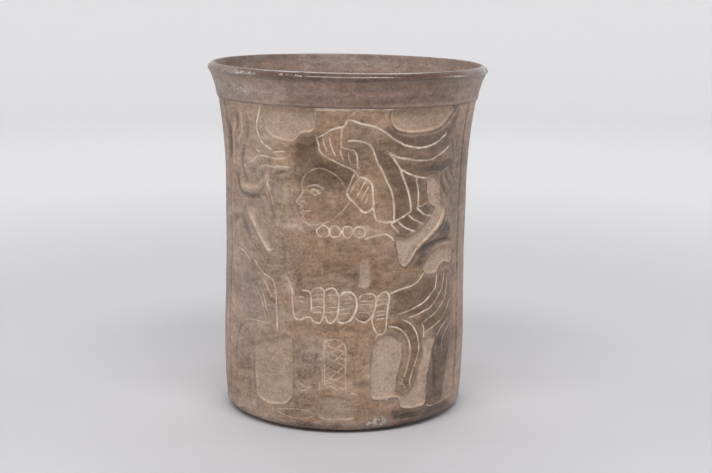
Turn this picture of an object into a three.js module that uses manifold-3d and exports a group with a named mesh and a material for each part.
// A carved earthenware vessel: a straight cylinder that flares into a plain collar and a rounded lip.
// Millimetres, +Z up. The origin is the centre of the base, and the first carved panel faces -Y.
// The clay members are modelled as the potter joins them: floor, corner coil, wall, collar and lip.

import * as THREE from 'three';
import { mergeVertices } from 'three/addons/utils/BufferGeometryUtils.js';
import Module from 'manifold-3d';

const wasm = await Module();
wasm.setup();

// Driving dimensions: the whole vessel
const HEIGHT = 142;
const BODY_RADIUS = 49.6;
const WALL_THICKNESS = 4.8;
const FLOOR_THICKNESS = 4.6;

// Driving dimensions: the rounded edge under the base, an arc that the flat of the base cuts off at this angle
const FOOT_ROUND_WIDTH = 5.7;
const FOOT_ROUND_HEIGHT = 4;
const FOOT_ROUND_ANGLE = THREE.MathUtils.degToRad(33);

// Driving dimensions: the flare, a long easy one in the wall and a short sharp one under the lip
const WALL_FLARE = 5.2;
const WALL_FLARE_LENGTH = 46.6;
const LIP_FLARE = 1.5;
const LIP_FLARE_LENGTH = 14.6;

// Driving dimensions: the plain collar above the carving, and the bead of the lip
const COLLAR_HEIGHT = 10;
const COLLAR_STEP = 0.4;
const LIP_BEAD_RADIUS = 1.9;
const LIP_SEAT_ANGLE = THREE.MathUtils.degToRad(52);

// Driving dimensions: the coil that is smeared into the inside corner
const COIL_REACH = 4;
const COIL_EDGE = 0.6;
const COIL_CLEARANCE = 0.3;

// Driving dimensions: the carved panels
const PANEL_COUNT = 2;
const PANEL_FOOT = 5.6;
const GROUND_DEPTH = 1.2;
const FRAME_GROOVE_DEPTH = 0.7;
const FRAME_GROOVE_WIDTH = 1.5;
const FRAME_GROOVE_FOOT = 8;
const FRAME_LEFT = -60;
const FRAME_RIGHT = 57;

// The drawing below was laid out on a wall of this radius, between these two heights
const DRAWN_RADIUS = 49.7;
const DRAWN_FOOT = 5.6;
const DRAWN_TOP = 128.6;

// How finely round shapes are divided
const SEGMENTS_AROUND = 72;
const ARC_STEPS = 5;
const BEAD_STEPS = 12;
const WALL_STEPS = 7;
const COLLAR_STEPS = 4;
const OUTLINE_STEPS = 2;

// Heights and radii that follow from the driving dimensions
const lipCentreHeight = HEIGHT - LIP_BEAD_RADIUS;
const lipSeatHeight = lipCentreHeight - LIP_BEAD_RADIUS * Math.sin(LIP_SEAT_ANGLE);
const lipSeatHalfWidth = LIP_BEAD_RADIUS * Math.cos(LIP_SEAT_ANGLE);
const lipSeatOuterRadius = BODY_RADIUS + WALL_FLARE + LIP_FLARE;
const lipCentreRadius = lipSeatOuterRadius - lipSeatHalfWidth;
const collarFootHeight = lipSeatHeight - COLLAR_HEIGHT;
const wallFlareStart = lipSeatHeight - WALL_FLARE_LENGTH;
const lipFlareStart = lipSeatHeight - LIP_FLARE_LENGTH;

// The drawing of the carving. Each cut-away ground is a closed outline of [around, up] points:
// around is measured along the wall from the middle of the front, up is measured from the table.
const CUT_GROUNDS = {
  upperLeft: [
    [-31.5, 130], [-33, 123.5], [-32.8, 119.6], [-30.6, 116.6], [-27, 115.5], [-20.5, 115.4],
    [-17.5, 118.6], [-13.6, 119.4], [-12.2, 121.5], [-12.6, 130],
  ],
  upperRight: [
    [17.2, 130], [16, 125], [17.2, 121.6], [20.5, 119.8], [26, 119], [33, 119.3],
    [39, 120.8], [43, 124.5], [46.6, 130],
  ],
  strapEnd: [
    [34.4, 101.4], [38.4, 101.2], [40.8, 97.6], [41.6, 93], [43.6, 89.8], [45.2, 87],
    [44.2, 83.6], [41.4, 80.6], [35.8, 77], [31, 73.6], [27, 68.8], [24, 66.6],
    [21.8, 68.6], [20.8, 73.2], [20.3, 78], [25, 77.6], [29.5, 79.6], [33.6, 82.6],
    [36.6, 85.6], [38.6, 88.6], [35.6, 90.6], [34.2, 94],
  ],
  leaf: [
    [33, 64.6], [34.6, 62.6], [37.4, 62.2], [40.2, 62.4], [42.2, 64.8], [45.4, 65.8],
    [50.4, 65], [51.4, 68], [50.8, 71.2], [45, 72], [40, 71.2], [36, 69],
  ],
  besideStrand: [
    [11.2, 14.8], [10.8, 20], [10.9, 28], [11.2, 34], [12.6, 37.6], [15.4, 39.7],
    [18.2, 40.2], [21.2, 38.8], [22.8, 35.8], [23, 31.8], [22.2, 27.6], [21.2, 23.8],
    [20.7, 20], [21.2, 16.6], [25.4, 14.9], [28.4, 16.4], [30.4, 20.4], [31.9, 25],
    [33.2, 30], [33.8, 35.2], [36.4, 37], [39.8, 36.4], [38.6, 32], [37.4, 27],
    [36, 22], [35.4, 16], [35.2, 9.2], [32.6, 8.5], [27, 8.7], [23.6, 9.8],
    [22.8, 13], [20.6, 14.2], [16, 14],
  ],
  rightEdge: [
    [47.4, 8.8], [47.2, 14], [48.2, 20], [49.4, 26], [51.2, 31], [55, 31.6],
    [55.4, 20], [55.2, 9.2],
  ],
  besideLegs: [
    [-35.4, 35.4], [-30, 36.3], [-26.6, 38.1], [-23.4, 38.8], [-21.4, 38], [-20.9, 34.6],
    [-20.8, 22], [-21.2, 14.4], [-23.4, 11.4], [-27, 10.3], [-31, 9.8], [-35, 10.3],
    [-38.2, 12.2], [-38.9, 16], [-39.2, 24], [-39, 30], [-38, 33.4],
  ],
  betweenFeet: [
    [-9.2, 14.6], [-7.4, 15.7], [-3, 15.8], [0.4, 15], [2.8, 13.6], [3.8, 11],
    [4.2, 6.4], [0, 5.9], [-5, 5.9], [-9.6, 6.4], [-10.2, 8], [-9.8, 11.6],
  ],
  armpit: [
    [5.4, 59.8], [7.4, 59.1], [9.4, 59.9], [9.2, 64.5], [8.3, 70], [7.3, 70.6],
    [6.3, 69.4], [5.5, 62.6],
  ],
  behindElbow: [
    [-25, 63.4], [-22.9, 61.8], [-21.4, 58.4], [-20.1, 55.4], [-21.6, 55.6], [-22.8, 58.6],
  ],
  underForearm: [
    [-45.4, 88.4], [-42.2, 90.4], [-38.4, 91.3], [-35.6, 90.2], [-34.4, 86.4], [-33, 82],
    [-30.4, 76.4], [-30.2, 72], [-32.6, 71.6], [-36.6, 75.2], [-40.6, 80.4], [-44.6, 85],
  ],
};

// Radius of the outer surface at a height, before the collar's step is added
function outerRadius(height) {
  const wallRise = Math.max(0, (height - wallFlareStart) / WALL_FLARE_LENGTH);
  const lipRise = Math.max(0, (height - lipFlareStart) / LIP_FLARE_LENGTH);
  return BODY_RADIUS + WALL_FLARE * wallRise ** 2 + LIP_FLARE * lipRise ** 3;
}

// The wall thins along the flare, from its full thickness to the width of the lip's seat
function innerRadius(height) {
  const wallRise = Math.max(0, (height - wallFlareStart) / WALL_FLARE_LENGTH);
  return outerRadius(height) - THREE.MathUtils.lerp(WALL_THICKNESS, 2 * lipSeatHalfWidth, wallRise);
}

// Evenly spaced values from one number to another, both ends included
function evenly(from, to, steps) {
  return Array.from({ length: steps + 1 }, (_, step) => THREE.MathUtils.lerp(from, to, step / steps));
}

// Points of an arc in the plane of the profile, with its angle measured from the outward direction
function arcPoints(radius, height, acrossRadius, upRadius, fromAngle, toAngle, steps) {
  return evenly(fromAngle, toAngle, steps).map(
    (angle) => new THREE.Vector2(radius + acrossRadius * Math.cos(angle), height + upRadius * Math.sin(angle)),
  );
}

// Turn a profile, listed upwards along its outer side, about the vessel's axis
function turned(profile) {
  const geometry = new THREE.LatheGeometry(profile, SEGMENTS_AROUND);
  geometry.rotateX(Math.PI / 2);
  return geometry;
}

// Turn a ring from its outer and inner sides, both listed upwards
function turnedRing(outerSide, innerSide) {
  return turned([...outerSide, ...innerSide.toReversed(), outerSide[0]]);
}

// A closed three.js mesh as a solid that can be cut
function toSolid(geometry) {
  geometry.deleteAttribute('normal');
  geometry.deleteAttribute('uv');
  const merged = mergeVertices(geometry);
  const mesh = new wasm.Mesh({
    numProp: 3,
    vertProperties: new Float32Array(merged.attributes.position.array),
    triVerts: new Uint32Array(merged.index.array),
  });
  return new wasm.Manifold(mesh);
}

function toGeometry(solid) {
  const mesh = solid.getMesh();
  const geometry = new THREE.BufferGeometry();
  geometry.setAttribute('position', new THREE.BufferAttribute(mesh.vertProperties, 3));
  geometry.setIndex(new THREE.BufferAttribute(mesh.triVerts, 1));
  geometry.computeVertexNormals();
  return geometry;
}

// Bend a flat outline of the drawing round the vessel, as a solid that reaches through the wall's face
function bentOutline(points, panelAngle) {
  const reach = WALL_THICKNESS / 2;
  const upScale = (collarFootHeight - PANEL_FOOT) / (DRAWN_TOP - DRAWN_FOOT);
  const innerEnd = BODY_RADIUS - WALL_THICKNESS - reach;
  const outerEnd = lipSeatOuterRadius + WALL_THICKNESS + reach;
  const flat = new THREE.ExtrudeGeometry(new THREE.Shape(points), {
    depth: outerEnd - innerEnd,
    bevelEnabled: false,
  });
  const position = flat.attributes.position;
  for (let index = 0; index < position.count; index += 1) {
    const angle = panelAngle + position.getX(index) / DRAWN_RADIUS;
    const radius = innerEnd + position.getZ(index);
    const height = PANEL_FOOT + (position.getY(index) - DRAWN_FOOT) * upScale;
    position.setXYZ(index, radius * Math.sin(angle), -radius * Math.cos(angle), height);
  }
  return toSolid(flat);
}

// Heights at which the wall's facets meet, where it flares
function flareHeights() {
  return evenly(wallFlareStart, collarFootHeight, WALL_STEPS);
}

// The skin of the wall down to a depth, and a little air in front of it
function wallSkin(depth) {
  const heights = [0, ...flareHeights(), HEIGHT];
  const air = WALL_THICKNESS / 2;
  return toSolid(
    turnedRing(
      heights.map((height) => new THREE.Vector2(outerRadius(height) + air, height)),
      heights.map((height) => new THREE.Vector2(outerRadius(height) - depth, height)),
    ),
  );
}

// A smooth closed line through the points of one ground
function groundOutline(points) {
  const curve = new THREE.CatmullRomCurve3(
    points.map(([around, up]) => new THREE.Vector3(around, up, 0)),
    true,
    'centripetal',
  );
  const smooth = curve.getPoints(points.length * OUTLINE_STEPS).slice(0, -1);
  return smooth.map((point) => new THREE.Vector2(point.x, point.y));
}

// The upright groove that frames a panel on one side, with corners all along it so that it bends
function frameOutline(around) {
  const heights = evenly(FRAME_GROOVE_FOOT, DRAWN_TOP + FRAME_GROOVE_WIDTH, WALL_STEPS);
  const half = FRAME_GROOVE_WIDTH / 2;
  const right = heights.map((height) => new THREE.Vector2(around + half, height));
  const left = heights.map((height) => new THREE.Vector2(around - half, height));
  return [...right, ...left.toReversed()];
}

function floorDisc() {
  const acrossRadius = FOOT_ROUND_WIDTH / (1 - Math.cos(FOOT_ROUND_ANGLE));
  const upRadius = FOOT_ROUND_HEIGHT / Math.sin(FOOT_ROUND_ANGLE);
  const rounding = arcPoints(
    BODY_RADIUS - acrossRadius,
    FOOT_ROUND_HEIGHT,
    acrossRadius,
    upRadius,
    -FOOT_ROUND_ANGLE,
    0,
    ARC_STEPS,
  );
  return turned([
    new THREE.Vector2(0, 0),
    ...rounding,
    new THREE.Vector2(BODY_RADIUS, FLOOR_THICKNESS),
    new THREE.Vector2(0, FLOOR_THICKNESS),
  ]);
}

// The coil lies on the floor, clear of the wall, and its face is a hollow quarter round
function cornerCoil() {
  const outer = BODY_RADIUS - WALL_THICKNESS - COIL_CLEARANCE;
  const centreRadius = outer - COIL_EDGE - COIL_REACH;
  const centreHeight = FLOOR_THICKNESS + COIL_EDGE + COIL_REACH;
  const face = arcPoints(centreRadius, centreHeight, COIL_REACH, COIL_REACH, -Math.PI / 2, 0, ARC_STEPS);
  return turnedRing(
    [new THREE.Vector2(outer, FLOOR_THICKNESS), new THREE.Vector2(outer, centreHeight)],
    [new THREE.Vector2(centreRadius, FLOOR_THICKNESS), ...face],
  );
}

// The wall stands on the floor's edge. Its grounds and frame grooves are cut once for each panel.
function carvedWall() {
  const heights = [FLOOR_THICKNESS, ...flareHeights()];
  let wall = toSolid(
    turnedRing(
      heights.map((height) => new THREE.Vector2(outerRadius(height), height)),
      heights.map((height) => new THREE.Vector2(innerRadius(height), height)),
    ),
  );
  const groundSkin = wallSkin(GROUND_DEPTH);
  const grooveSkin = wallSkin(FRAME_GROOVE_DEPTH);
  for (let panel = 0; panel < PANEL_COUNT; panel += 1) {
    const panelAngle = (2 * Math.PI * panel) / PANEL_COUNT;
    for (const points of Object.values(CUT_GROUNDS)) {
      wall = wall.subtract(bentOutline(groundOutline(points), panelAngle).intersect(groundSkin));
    }
    for (const around of [FRAME_LEFT, FRAME_RIGHT]) {
      wall = wall.subtract(bentOutline(frameOutline(around), panelAngle).intersect(grooveSkin));
    }
  }
  return toGeometry(wall);
}

// The collar stands proud of the carving at its foot, and the step dies away towards the lip
function rimCollar() {
  const heights = evenly(collarFootHeight, lipSeatHeight, COLLAR_STEPS);
  return turnedRing(
    heights.map((height) => {
      const step = COLLAR_STEP * (lipSeatHeight - height) / COLLAR_HEIGHT;
      return new THREE.Vector2(outerRadius(height) + step, height);
    }),
    heights.map((height) => new THREE.Vector2(innerRadius(height), height)),
  );
}

// The lip is a round bead with a flat seat on the collar
function lipCoil() {
  const bead = arcPoints(
    lipCentreRadius,
    lipCentreHeight,
    LIP_BEAD_RADIUS,
    LIP_BEAD_RADIUS,
    -LIP_SEAT_ANGLE,
    Math.PI + LIP_SEAT_ANGLE,
    BEAD_STEPS,
  );
  return turned([...bead, bead[0]]);
}

function clay(color, roughness) {
  return new THREE.MeshStandardMaterial({ color, roughness, metalness: 0 });
}

function piece(name, geometry, material) {
  const mesh = new THREE.Mesh(geometry, material);
  mesh.name = name;
  return mesh;
}

const vessel = new THREE.Group();
vessel.add(
  piece('floor_disc', floorDisc(), clay(0x7f6a5a, 0.62)),
  piece('corner_coil', cornerCoil(), clay(0x75614f, 0.7)),
  piece('carved_wall', carvedWall(), clay(0x897362, 0.5)),
  piece('rim_collar', rimCollar(), clay(0x806c5f, 0.42)),
  piece('lip_coil', lipCoil(), clay(0x6d5143, 0.36)),
);

export default vessel;
